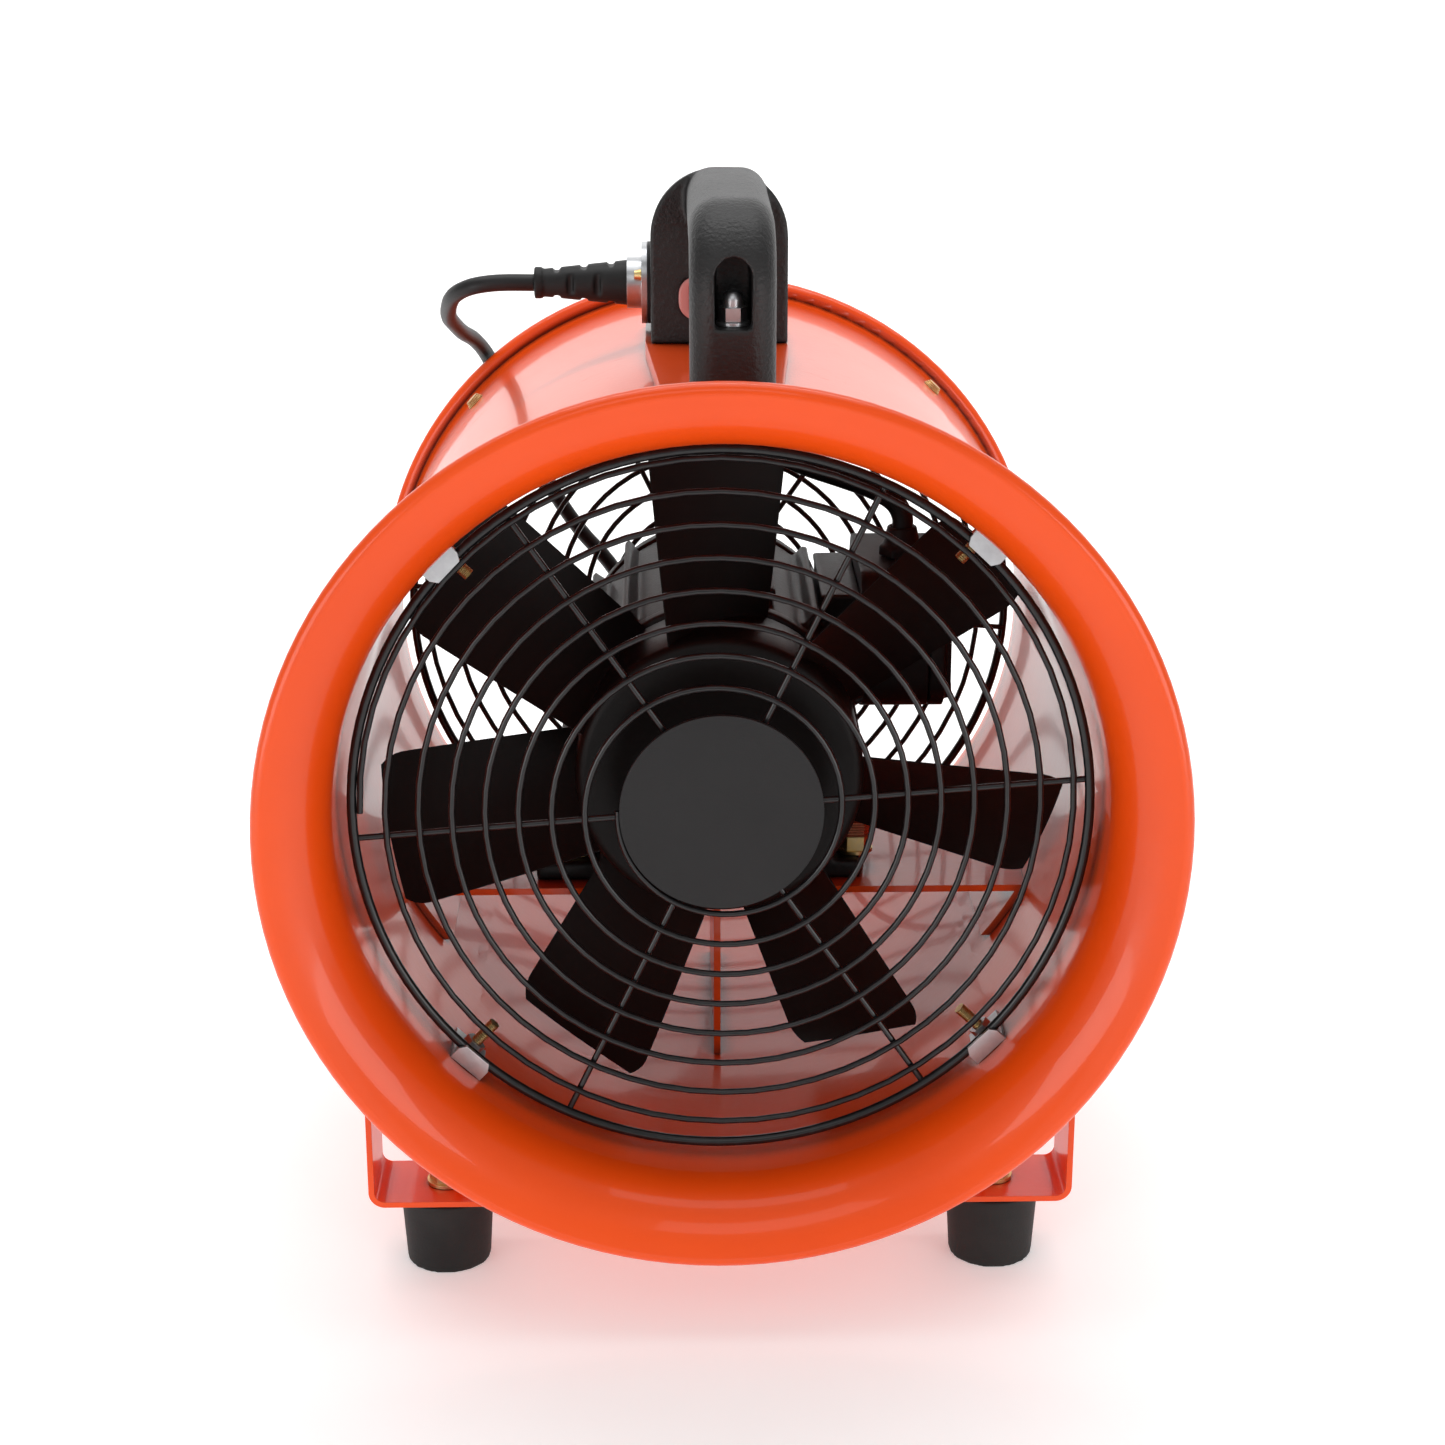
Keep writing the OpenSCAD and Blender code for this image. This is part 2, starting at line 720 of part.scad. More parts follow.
module run_capacitor() {
    color("lightgray") spot(cap_x + 16.3, cap_in + 16, cap_low + 22) rotate([-90, 0, 0]) {
        cylinder(r = 13, h = cap_len - 36);
        cylinder(r = 3, h = cap_len - 30);
    }
}

module capacitor_gland() {
    color([0.1, 0.1, 0.1]) spot(cap_gland[0], cap_gland[1], cap_high) difference() {
        union() {
            translate([0, 0, -6]) cylinder(r = 6, h = 8);
            translate([0, 0, seat_gap]) hex(18, 5);
            translate([0, 0, 5]) cylinder(r1 = 8.5, r2 = 6.5, h = 9);
        }
        translate([0, 0, -7]) cylinder(r = cable_d / 2 + seat_gap, h = 24);
    }
}

// Sweeps a round cord of n sides along a list of points; the rings stay square to the route
function unit(v) = v / norm(v);
function heading(p, i) =
    let (m = len(p) - 1) i == 0 ? unit(p[1] - p[0]) : i == m ? unit(p[m] - p[m - 1]) :
        unit(unit(p[i] - p[i - 1]) + unit(p[i + 1] - p[i]));
function carry(side, t) = unit(side - t * (side * t));
function frames(p, side, i = 0) =
    let (t = heading(p, i), s = carry(side, t))
    i == len(p) - 1 ? [s] : concat([s], frames(p, s, i + 1));

// Three points on a smooth curve through the hand chosen ones for each stretch
function smooth(p) = [for (i = [0:len(p) - 2], t = [0, 0.5])
    let (a = p[max(i - 1, 0)], b = p[i], c = p[i + 1], d = p[min(i + 2, len(p) - 1)])
    t == 0 ? b : (9 * (b + c) - a - d) / 16];

module cord_along(points, d, n) {
    p = concat(smooth(points), [points[len(points) - 1]]);
    s = frames(p, [0.1, 0.2, 1]);
    rings = [for (i = [0:len(p) - 1], k = [0:n - 1])
        let (t = heading(p, i), v = cross(t, s[i]))
        p[i] + d / 2 * (s[i] * cos(360 / n * k) + v * sin(360 / n * k))];
    skin = [for (i = [0:len(p) - 2], k = [0:n - 1], h = [0, 1])
        let (a = i * n + k, b = i * n + (k + 1) % n)
        h == 0 ? [a, b + n, b] : [a, a + n, b + n]];
    last = (len(p) - 1) * n;
    ends = [[for (k = [0:n - 1]) k], [for (k = [0:n - 1]) last + n - 1 - k]];
    polyhedron(rings, concat(skin, ends));
}

// The cable inside the duct, as [x, depth, height above the fan axis]
cable_route = [[84, 204, 58], [84, 204, 72], [84, 204, 80], [80, 204, 87], [70, 204, 93], [56, 205, 98],
    [41, 206, 103], [28, 208, 109], [18, 209, 117], [12, 209, 128], [10, 209, 140],
    [10, 209, 154], [10, 209, 168]];

module motor_cable() {
    color("black") spot(0, 0, 0) cord_along(cable_route, cable_d, 10);
}

module duct_grommet() {
    color("black") spot(cable_x, cable_in, 0) difference() {
        union() {
            translate([0, 0, r_in - 3.6]) cylinder(r = 9, h = 2.2);
            translate([0, 0, r_in - 3.6]) cylinder(r = cable_d / 2 + 1.8, h = 7.6);
            translate([0, 0, r_out + seat_gap]) cylinder(r = 9, h = 1.8);
        }
        translate([0, 0, r_in - 10]) cylinder(r = cable_d / 2 + seat_gap, h = 20);
    }
}

// ---- handle ----

module bracket_plan(inset) {
    polygon([[-22 + inset, fy(60) + inset], [22 - inset, fy(60) + inset],
        [31 - inset, fy(box_in + 6)], [31 - inset, fy(box_in + box_len + 5) - inset],
        [-31 + inset, fy(box_in + box_len + 5) - inset], [-31 + inset, fy(box_in + 6)]]);
}

module box_screw_places() {
    for (d = [14, box_len - 18]) spot(box_x - 16, box_in + d, box_floor + box_wall) children();
}

module handle_bracket() {
    t = 2.5;
    color("orangered") difference() {
        translate([box_x - 1, 0, axis_z + r_out - 14])
            linear_extrude(bracket_top - r_out + 14) bracket_plan(0);
        translate([box_x - 1, 0, axis_z + r_out - 15])
            linear_extrude(bracket_top - t - r_out + 15) bracket_plan(t);
        along() cylinder(r = r_out + seat_gap, h = duct_length, $fn = 180);
        spot(grip_x, handle_bolt_in, r_out) cylinder(r = 3 + bolt_gap, h = 10);
        spot(cable_x, cable_in, r_out) cylinder(r = cable_d / 2 + 1, h = 10);
        box_screw_places() translate([0, 0, -12]) cylinder(r = 2.5 + run_gap, h = 14);
    }
}

module grip_section() { round_rect(grip_w, grip_t, grip_r); }

module grip() {
    turn_z = grip_top - grip_t - grip_bend;
    turn_d = leg_back + grip_bend;
    spot(grip_x, leg_in + grip_t / 2, box_floor) linear_extrude(turn_z - box_floor) grip_section();
    spot(grip_x, turn_d, turn_z) rotate([0, 90, 0]) rotate([0, 0, 180]) rotate_extrude(angle = 90)
        translate([grip_bend + grip_t / 2, 0]) rotate(90) grip_section();
    spot(grip_x, turn_d, grip_top - grip_t / 2) rotate([-90, 0, 0])
        linear_extrude(box_in - turn_d + 1) grip_section();
}

// The switch box is an arch seen from its end, and is lower at the back than at the front
module box_profile(inset, drop) {
    h = grip_top - box_floor - box_r - drop;
    translate([0, h]) circle(box_r - inset);
    translate([-box_r + inset, inset]) square([box_w - 2 * inset, h - inset]);
}

module box_slice(d, inset) {
    spot(box_x, d, box_floor) rotate([90, 0, 0]) linear_extrude(slice_t)
        box_profile(inset, box_drop * (d - box_in) / box_len);
}

module box_block(d0, d1, inset) {
    hull() {
        box_slice(d0 + slice_t, inset);
        box_slice(d1, inset);
    }
}

module at_cover_screws() {
    for (p = [[-23.5, 6], [23.5, 6], [0, grip_top - box_drop - box_floor - 6]])
        spot(box_x + p[0], box_in + box_len, box_floor + p[1]) rotate([90, 0, 0]) children();
}

module handle_body() {
    cover = 3 + seat_gap;
    color([0.16, 0.16, 0.17]) difference() {
        union() {
            grip();
            box_block(box_in, box_in + box_len - cover, 0);
        }
        difference() {
            box_block(box_in + box_wall + 1, box_in + box_len, box_wall);
            at_cover_screws() cylinder(r = 4.5, h = 16);
        }
        at_cover_screws() cylinder(r = 1.6 + run_gap, h = 15);
        slab(grip_x, recess_w, leg_in - 1, leg_in + 21, recess_z, recess_z + 20);
        spot(grip_x, leg_in - 1, recess_z + 20) rotate([-90, 0, 0]) cylinder(d = recess_w, h = 22);
        spot(grip_x, handle_bolt_in, box_floor - 1) cylinder(r = 3 + bolt_gap, h = 40);
        spot(cable_x, cable_in, box_floor - 1) cylinder(r = cable_d / 2 + 1, h = 6);
        box_screw_places() translate([0, 0, -6]) cylinder(r = 2.5 + bolt_gap, h = 8);
        spot(box_x, box_in, switch_z) rotate([90, 0, 0]) translate([0, 0, -8])
            linear_extrude(16) square([31, 15], center = true);
        spot(box_left - 1, gland_in, gland_z) rotate([0, 90, 0]) cylinder(r = 10, h = 6);
        for (s = [-1, 1]) spot(box_left - 1, gland_in + s * 13.2, gland_z - s * 5.5)
            rotate([0, 90, 0]) cylinder(r = 1.6 + run_gap, h = 6);
    }
}

module switch_box_cover() {
    color([0.14, 0.14, 0.15]) difference() {
        box_block(box_in + box_len - 3, box_in + box_len, 0);
        at_cover_screws() translate([0, 0, -1]) cylinder(r = 1.6 + bolt_gap, h = 6);
    }
}

module cover_screws() {
    color("silver") at_cover_screws() screw(3, 1.6, 12);
}

module switch_box_screws() {
    color("silver") box_screw_places() rotate([180, 0, 0]) screw(4.5, 2.5, 4.8);
}

module handle_bolt() {
    color("silver") spot(grip_x, handle_bolt_in, r_out + seat_gap) {
        cylinder(r = 6.5, h = 2);
        cylinder(r = 3, h = recess_z - r_out + 9);
    }
}

module handle_washer() {
    color("silver") spot(grip_x, handle_bolt_in, recess_z + seat_gap) tube(6.6, 3 + bolt_gap, 1.4);
}

module acorn_nut() {
    color("silver") spot(grip_x, handle_bolt_in, recess_z + 1.4 + 2 * seat_gap) difference() {
        union() {
            hex(10, 5.5);
            translate([0, 0, 5]) cylinder(r = 4.2, h = 3);
            translate([0, 0, 8]) sphere(r = 4.2);
        }
        translate([0, 0, -1]) cylinder(r = 3 + run_gap, h = 9);
    }
}

// ---- switch ----

module at_switch() {
    spot(box_x, box_in, switch_z) rotate([90, 0, 0]) children();
}

pivot_z = -1.5;
pin_r = 1;

module switch_bezel() {
    color("lightpink") at_switch() difference() {
        union() {
            translate([0, 0, seat_gap]) linear_extrude(2.2) round_rect(35, 19, 8);
            translate([0, 0, -20]) linear_extrude(21) round_rect(30.4, 14.4, 1);
        }
        translate([0, 0, -8.5]) linear_extrude(12) square([25.8, 11.6], center = true);
        translate([0, 7, pivot_z]) rotate([90, 0, 0]) cylinder(r = pin_r + run_gap, h = 14, $fn = 32);
    }
}

module switch_rocker() {
    color("red") at_switch() translate([0, 0, pivot_z]) rotate([0, rocker_tilt, 0]) rotate([90, 0, 0]) {
        translate([0, 0, -5.5]) linear_extrude(11)
            polygon([[-11.9, 2], [-11.9, 5.1], [0, 3.6], [11.9, 5.1], [11.9, 2], [4, -4.5], [-4, -4.5]]);
        translate([0, 0, -6.8]) cylinder(r = pin_r, h = 13.6, $fn = 32);
    }
}

// ---- cord entry ----

// Z runs to the left, out of the side of the switch box
module at_gland() {
    spot(box_left, gland_in, gland_z) rotate([0, -90, 0]) children();
}

module gland_holes(r) {
    for (s = [-1, 1]) translate([-s * 5.5, s * 13.2, -1]) cylinder(r = r, h = 20);
}

module gland_gasket() {
    color("black") at_gland() difference() {
        translate([0, 0, 0.1]) linear_extrude(1.4) round_rect(35, 34, 14);
        translate([0, 0, -1]) cylinder(r = 10.1, h = 10);
        gland_holes(1.6 + bolt_gap);
    }
}

module gland_plate() {
    color("silver") at_gland() difference() {
        union() {
            translate([0, 0, 1.6]) linear_extrude(2.5) round_rect(35, 34, 14);
            translate([0, 0, 1.6]) cylinder(r = 11.3, h = 9);
        }
        translate([0, 0, -1]) cylinder(r = 10.1, h = 20);
        gland_holes(1.6 + bolt_gap);
    }
}

module gland_screws() {
    color("goldenrod") at_gland() for (s = [-1, 1])
        translate([-s * 5.5, s * 13.2, 4.2]) rotate([180, 0, 0]) screw(2.5, 1.6, 9);
}

module strain_relief() {
    start = 10.6;
    color([0.1, 0.1, 0.1]) at_gland() difference() {
        union() {
            translate([0, 0, -4.6]) cylinder(r = 12.5, h = 1.8);
            translate([0, 0, -4.6]) cylinder(r = 9.9, h = start + 4.6);
            translate([0, 0, start]) cylinder(r1 = 9.9, r2 = 6.1, h = relief_len - 3.5);
            translate([0, 0, start + relief_len - 3.5]) cylinder(r = 7, h = 3.5);
        }
        for (k = [0:2], s = [-1, 1]) translate([s * (10.4 - 1.2 * k), 0, start + 7 + 12 * k])
            cube([6, 30, 3], center = true);
        for (k = [0:1], s = [-1, 1]) translate([0, s * (9.8 - 1.2 * k), start + 13 + 12 * k])
            cube([30, 6, 3], center = true);
    }
}

// ---- mains lead ----

coil_inner = 36;
coil_turns = 2.25;
coil_outer = coil_inner + coil_turns * cord_d;
coil_x = 33.5;
coil_in = 425;

// The lead from the strain relief to the coil, as [x, depth, height above the fan axis]
cord_route = [[-79.3, 229, 181], [-95, 229, 181], [-107, 231, 179], [-115, 240, 174], [-119, 255, 167],
    [-121, 275, 158], [-120, 297, 150], [-118, 320, 142], [-114, 343, 134], [-109, 362, 122],
    [-102, 371, 103], [-92, 376, 78], [-80, 378, 52], [-66, 378, 30], [-51, 378, 12], [-38, 378, -10],
    [-29, 378, -38], [-24, 378, -70], [-22, 378, -105], [-21, 378, -140], [-20, 380, -170],
    [-19, 387, -195], [-18.5, 397, -207], [-19, 406, -212]];

module power_cord() {
    color("black") spot(0, 0, 0) cord_along(cord_route, cord_d, 8);
}

module cord_coil() {
    color("black") {
        translate([coil_x, fy(coil_in), 0]) rotate_extrude()
            translate([coil_inner - cord_d / 2, 0]) square([coil_outer - coil_inner + cord_d, 2 * cord_d]);
        at_plug() translate([0, 0, -coil_tail]) cylinder(d = cord_d - seat_gap, h = coil_tail - seat_gap);
    }
}

plug_x = coil_x + coil_outer - 1.5;
plug_z = 1.5 * cord_d;
coil_tail = 34;

// Z runs to the front from the end of the lead, along the plug
module at_plug() {
    translate([plug_x, fy(coil_in) - coil_tail, plug_z]) rotate([90, 0, 0]) children();
}

module plug_body() {
    color("black") at_plug() {
        cylinder(r1 = 5, r2 = 7, h = 16);
        translate([0, 0, 15.5]) linear_extrude(28) round_rect(26, 2 * plug_z, 8);
    }
}

module plug_pins() {
    color("gold") at_plug() {
        for (s = [-1, 1]) translate([s * 6.35 - 0.75, 0, 43.6]) cube([1.5, 6.3, 17.5]);
        translate([0, -5, 43.6]) cylinder(r = 2.4, h = 21);
    }
}

duct_housing();
motor_shelf();
shelf_rib();
front_stand();
rear_stand();
foot_front_left();
foot_front_right();
foot_rear_left();
foot_rear_right();
foot_bolts();
foot_nuts();
front_guard();
front_guard_disc();
rear_guard();
rear_guard_disc();
front_guard_clips();
rear_guard_clips();
clip_screws();
clip_nuts();
motor_body();
motor_front_bell();
motor_rear_bell();
end_bell_screws();
motor_bolts();
motor_nuts();
earth_stud();
stator_core();
stator_windings();
front_bearing();
rear_bearing();
impeller();
hub_bolt();
motor_shaft();
shaft_key();
rotor_core();
capacitor_box();
capacitor_lid();
capacitor_lid_screws();
run_capacitor();
capacitor_gland();
motor_cable();
duct_grommet();
handle_bracket();
handle_body();
switch_box_cover();
cover_screws();
switch_box_screws();
handle_bolt();
handle_washer();
acorn_nut();
switch_bezel();
switch_rocker();
gland_gasket();
gland_plate();
gland_screws();
strain_relief();
power_cord();
cord_coil();
plug_body();
plug_pins();
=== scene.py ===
# Portable axial ventilator: the finishes and the finely shaped pieces around its working frame.
import math

import bmesh
import bpy
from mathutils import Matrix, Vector


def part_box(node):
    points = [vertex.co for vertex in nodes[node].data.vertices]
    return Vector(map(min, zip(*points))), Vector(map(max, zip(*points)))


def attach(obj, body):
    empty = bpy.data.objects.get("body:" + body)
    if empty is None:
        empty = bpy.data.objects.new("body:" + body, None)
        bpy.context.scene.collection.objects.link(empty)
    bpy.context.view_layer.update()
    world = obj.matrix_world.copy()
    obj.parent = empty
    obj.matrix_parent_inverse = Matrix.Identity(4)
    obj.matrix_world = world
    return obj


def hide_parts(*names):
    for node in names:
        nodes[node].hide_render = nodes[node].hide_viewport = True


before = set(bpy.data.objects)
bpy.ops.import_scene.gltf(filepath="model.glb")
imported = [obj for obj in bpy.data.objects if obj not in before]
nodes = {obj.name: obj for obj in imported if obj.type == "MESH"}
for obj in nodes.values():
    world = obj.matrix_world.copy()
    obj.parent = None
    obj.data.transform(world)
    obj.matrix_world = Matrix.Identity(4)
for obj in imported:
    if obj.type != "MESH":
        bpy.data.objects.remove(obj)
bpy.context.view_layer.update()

# The duct is the piece that everything is measured from: a round sheet steel barrel on
# a level axis that runs from the bellmouth's lip, at the front, to the rear rim.
duct_low, duct_high = (Vector(corner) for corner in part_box("duct_housing"))
lip_y = duct_low.y
axis_z = (duct_low.z + duct_high.z) / 2


def behind_lip(x, depth, height):
    """A point given from the fan axis, at a depth behind the bellmouth's lip"""
    return Vector((x, lip_y + depth, axis_z + height))


# Camera: a short telephoto lens about a metre in front of the bellmouth, a little to
# the left of the fan axis and well above it, looking down at the machine.
def placed(name, data):
    """A new object of the scene, made from its data"""
    made = bpy.data.objects.new(name, data)
    bpy.context.collection.objects.link(made)
    return made


camera = placed("camera", bpy.data.cameras.new("camera"))
camera.location = behind_lip(-0.0213, -0.988, 0.3853)
camera.rotation_euler = (math.radians(71.37), 0, math.radians(-1.2))
camera.data.lens = 68.5
camera.data.sensor_width = 36
bpy.context.scene.camera = camera


# Mains lead: a round rubber sheathed lead, 7.5 mm thick. It leaves the strain relief to
# the left, drops over the rear of the duct to the floor, and the rest of its length is
# wound in a flat coil of two layers, held by a hook and loop tie.
class Value:
    """The output of a shader node. Sums, products and powers of it become Math nodes"""

    def __init__(self, finish, socket):
        self.finish = finish
        self.socket = socket

    def math(self, operation, *terms, clamp=False):
        settings = {"operation": operation, "use_clamp": clamp}
        return self.finish.node("ShaderNodeMath", settings, dict(enumerate(terms)))

    def __add__(self, other):
        return self.math("ADD", self, other)

    __radd__ = __add__

    def __sub__(self, other):
        return self.math("SUBTRACT", self, other)

    def __rsub__(self, other):
        return self.math("SUBTRACT", other, self)

    def __mul__(self, other):
        return self.math("MULTIPLY", self, other)

    __rmul__ = __mul__

    def __pow__(self, power):
        return self.math("POWER", self, power)

    def band(self, low, high):
        """0 up to low, 1 from high on, and even between them"""
        return self.math("MULTIPLY", self - low, 1 / (high - low), clamp=True)


class Finish:
    """A surface finish: a material whose shader takes constants, and links for what varies"""

    def __init__(self, name, **constants):
        self.material = bpy.data.materials.new(name)
        self.material.use_nodes = True
        self.tree = self.material.node_tree
        self.shader = self.tree.nodes["Principled BSDF"]
        for socket, value in constants.items():
            self.shader.inputs[socket.replace("_", " ")].default_value = value
        self.place = self.node("ShaderNodeTexCoord", {}, {}, "Object")

    def node(self, kind, settings, inputs, output=0):
        """One node of any type: its settings first, then the values or links of its sockets"""
        made = self.tree.nodes.new(kind)
        for setting, value in settings.items():
            setattr(made, setting, value)
        for socket, value in inputs.items():
            self.feed(made.inputs[socket], value)
        return Value(self, made.outputs[output])

    def feed(self, socket, value):
        """A link to the socket when the value varies, or else its constant"""
        if isinstance(value, Value):
            self.tree.links.new(value.socket, socket)
        else:
            socket.default_value = value

    def along(self, axis):
        """The distance along x, y or z, for an axis of 0, 1 or 2"""
        return self.node("ShaderNodeSeparateXYZ", {}, {0: self.place}, axis)

    def mix(self, factor, first, second):
        """A colour between two others"""
        colours = {0: factor, 6: first, 7: second}
        return self.node("ShaderNodeMix", {"data_type": "RGBA"}, colours, 2)

    def noise(self, size, detail=2.0, roughness=0.5, stretch=(1, 1, 1)):
        """Even noise from 0 to 1, its lumps about size metres across"""
        spread = {0: self.place, 1: tuple(s / size for s in stretch)}
        at = self.node("ShaderNodeVectorMath", {"operation": "MULTIPLY"}, spread)
        return self.node("ShaderNodeTexNoise", {}, {
            "Vector": at, "Scale": 1.0, "Detail": detail, "Roughness": roughness})

    def relief(self, height, depth, edge=0.0):
        """Bumps of a depth in metres, over corners rounded to a radius of edge metres"""
        inputs = {"Height": height, "Distance": depth, "Strength": 1.0}
        if edge:
            inputs["Normal"] = self.node("ShaderNodeBevel", {"samples": 4}, {"Radius": edge})
        self.set(Normal=self.node("ShaderNodeBump", {}, inputs))

    def corners(self, radius):
        """1 on corners and edges, 0 on flat faces and gentle curves"""
        rounded = self.node("ShaderNodeBevel", {"samples": 4}, {"Radius": radius})
        flat = self.node("ShaderNodeNewGeometry", {}, {}, "Normal")
        same = self.node("ShaderNodeVectorMath", {"operation": "DOT_PRODUCT"}, {0: rounded, 1: flat}, 1)
        return (1 - same).band(0.01, 0.14)

    def set(self, **sockets):
        """Feeds the shader's sockets, named with underscores for spaces"""
        for socket, value in sockets.items():
            self.feed(self.shader.inputs[socket.replace("_", " ")], value)

    def on(self, *names):
        """Gives this finish to nodes of the frame"""
        for name in names:
            for slot in nodes[name].material_slots:
                slot.material = self.material


def moulding(name, colour, worn, rough, grain, depth, **constants):
    """Rubber or plastic straight from a mould, with a fine grain and faint handling marks"""
    made = Finish(name, **{"Specular_IOR_Level": 0.3, **constants})
    cloud = made.noise(0.035, 4.0)
    marks = made.noise(0.006, 3.0, 0.7, (1, 1, 5))
    pits = made.noise(grain, 2.0, 0.6)
    made.set(Base_Color=made.mix(cloud.band(0.35, 0.75) * 0.6 + made.corners(0.0006) * 0.3, colour, worn),
             Roughness=rough + cloud * 0.1 + marks.band(0.55, 0.8) * 0.08)
    made.relief(pits + marks * 0.3, depth, 0.0004)
    return made


lead_rubber = moulding("lead_rubber", (0.006, 0.006, 0.0065, 1), (0.016, 0.016, 0.017, 1),
                       rough=0.42, grain=0.0012, depth=0.00006, Specular_IOR_Level=0.35)

lead_thick = 0.0075
# From the strain relief to the start of the coil: across, behind the lip, above the axis
lead_route = [
    (-0.0793, 0.229, 0.181), (-0.095, 0.229, 0.181), (-0.107, 0.231, 0.179), (-0.115, 0.240, 0.174),
    (-0.119, 0.255, 0.167), (-0.121, 0.275, 0.158), (-0.120, 0.297, 0.150), (-0.118, 0.320, 0.142),
    (-0.114, 0.343, 0.134), (-0.109, 0.362, 0.122), (-0.102, 0.371, 0.103), (-0.092, 0.376, 0.078),
    (-0.080, 0.378, 0.052), (-0.066, 0.378, 0.030), (-0.051, 0.378, 0.012), (-0.038, 0.378, -0.010),
    (-0.029, 0.378, -0.038), (-0.024, 0.378, -0.070), (-0.022, 0.378, -0.105), (-0.021, 0.378, -0.140),
    (-0.020, 0.380, -0.170), (-0.019, 0.387, -0.195), (-0.0185, 0.397, -0.207), (-0.019, 0.406, -0.212)]
coil_centre = Vector((0.0335, lip_y + 0.425, 0))
coil_outer = 0.036 + 2.25 * lead_thick
coil_turns = 4.5
climb_turn = 2.35
climb_part = 0.2
coil_lift = 0.515
tail_length = 0.034


def coil_point(turn):
    """The lead winds inwards on the floor, climbs its own thickness, then winds outwards"""
    radius = coil_outer - lead_thick * min(turn, 2 * climb_turn - turn)
    rise = min(max((turn - climb_turn + climb_part) / climb_part, 0), 1)
    rise = rise * rise * (3 - 2 * rise)
    angle = math.pi * (1 - 2 * turn)
    return coil_centre + Vector((radius * math.cos(angle), radius * math.sin(angle),
                                 lead_thick * (coil_lift + rise)))


def flowing(points, steps):
    """A smooth curve through the points, with steps to each stretch"""
    curve = []
    for i in range(len(points) - 1):
        a, b = points[max(i - 1, 0)], points[i]
        c, d = points[i + 1], points[min(i + 2, len(points) - 1)]
        bend = 2 * a - 5 * b + 4 * c - d
        twist = 3 * (b - c) + d - a
        for step in range(steps):
            t = step / steps
            curve.append(b + 0.5 * t * (c - a + t * (bend + t * twist)))
    return curve + [points[-1]]


def round_wire(name, runs, thick, finish, body="housing"):
    """Round wire or cable along one or more runs: (points, closed, share of the thickness)"""
    curve = bpy.data.curves.new(name, "CURVE")
    curve.dimensions = "3D"
    curve.bevel_depth = thick / 2
    curve.bevel_resolution = 5
    curve.use_fill_caps = True
    for points, closed, share in runs:
        spline = curve.splines.new("POLY")
        spline.points.add(len(points) - 1)
        spline.use_cyclic_u = closed
        spline.use_smooth = True
        for target, point in zip(spline.points, points):
            target.co = (*point, 1)
            target.radius = share
    curve.materials.append(finish.material)
    piece = placed(name, curve)
    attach(piece, body)
    return piece


lead_points = [behind_lip(*point) for point in lead_route]
coil_steps = 24
coil_points = [coil_point(k / coil_steps) for k in range(int(coil_turns * coil_steps) + 1)]
tail_end = coil_points[-1] - Vector((0, tail_length, 0))
lead = round_wire("mains_lead", [(flowing(lead_points + coil_points + [tail_end], 4), False, 1)],
                  lead_thick, lead_rubber)
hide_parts("power_cord", "cord_coil")


# Tie: a strip of woven hook and loop tape, wrapped once round all the turns of the coil
# on the side away from the machine.
def smooth(mesh):
    """Shades all the faces of a mesh as one curved skin"""
    for face in mesh.polygons:
        face.use_smooth = True


def mesh_piece(name, points, faces, finish, body="housing"):
    """A piece made from its own points and faces"""
    mesh = bpy.data.meshes.new(name)
    mesh.from_pydata([tuple(point) for point in points], [], faces)
    made = bmesh.new()
    made.from_mesh(mesh)
    bmesh.ops.recalc_face_normals(made, faces=made.faces)
    made.to_mesh(mesh)
    made.free()
    smooth(mesh)
    mesh.set_sharp_from_angle(angle=math.radians(50))
    mesh.materials.append(finish.material)
    piece = placed(name, mesh)
    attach(piece, body)
    return piece


def loft(name, rings, finish, body="housing", closed=False):
    """A skin over rings of points, with its ends filled unless it closes on itself"""
    n = len(rings[0])
    count = len(rings)
    faces = []
    for i in range(count if closed else count - 1):
        for k in range(n):
            j = (i + 1) % count
            faces.append((i * n + k, i * n + (k + 1) % n, j * n + (k + 1) % n, j * n + k))
    if not closed:
        faces.append(tuple(range(n - 1, -1, -1)))
        faces.append(tuple((count - 1) * n + k for k in range(n)))
    return mesh_piece(name, [point for ring in rings for point in ring], faces, finish, body)


def rounded(turn, power):
    """A point on a rounded square with sides of 2: a power of 1 makes a circle of it"""
    return tuple(abs(part) ** power * math.copysign(1, part) for part in (math.cos(turn), math.sin(turn)))


tie_tape = moulding("tie_tape", (0.014, 0.014, 0.015, 1), (0.05, 0.05, 0.052, 1),
                    rough=0.8, grain=0.0006, depth=0.0002, Sheen_Weight=0.4)
tie_angle = math.radians(80)
tie_wide = 0.016
tie_thick = 0.0012
tie_middle = coil_outer - 0.0092
tie_reach = 0.0134
tie_low = 0.0002
ring_sides = 40
tie_rings = []
for k in range(ring_sides):
    turn = 2 * math.pi * k / ring_sides
    across, up = rounded(turn, 0.45)
    ring = []
    for out, along in ((0, -1), (1, -1), (1, 1), (0, 1)):
        radius = tie_middle + across * (tie_reach + out * tie_thick)
        height = lead_thick + up * (lead_thick - tie_low + out * tie_thick * (turn < math.pi))
        spread = tie_angle + along * tie_wide / 2 / coil_outer
        ring.append(coil_centre + Vector((radius * math.cos(spread), radius * math.sin(spread),
                                          max(height, tie_low))))
    tie_rings.append(ring)
tie = loft("coil_tie", tie_rings, tie_tape, closed=True)

# Plug: a moulded grip on the end of the lead, with waisted sides and finger ribs, two
# flat brass blades and a round earth pin.
plug_low, plug_high = (Vector(corner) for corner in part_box("plug_body"))
plug_mid = (plug_low + plug_high) / 2
plug_half = (plug_high - plug_low) / 2
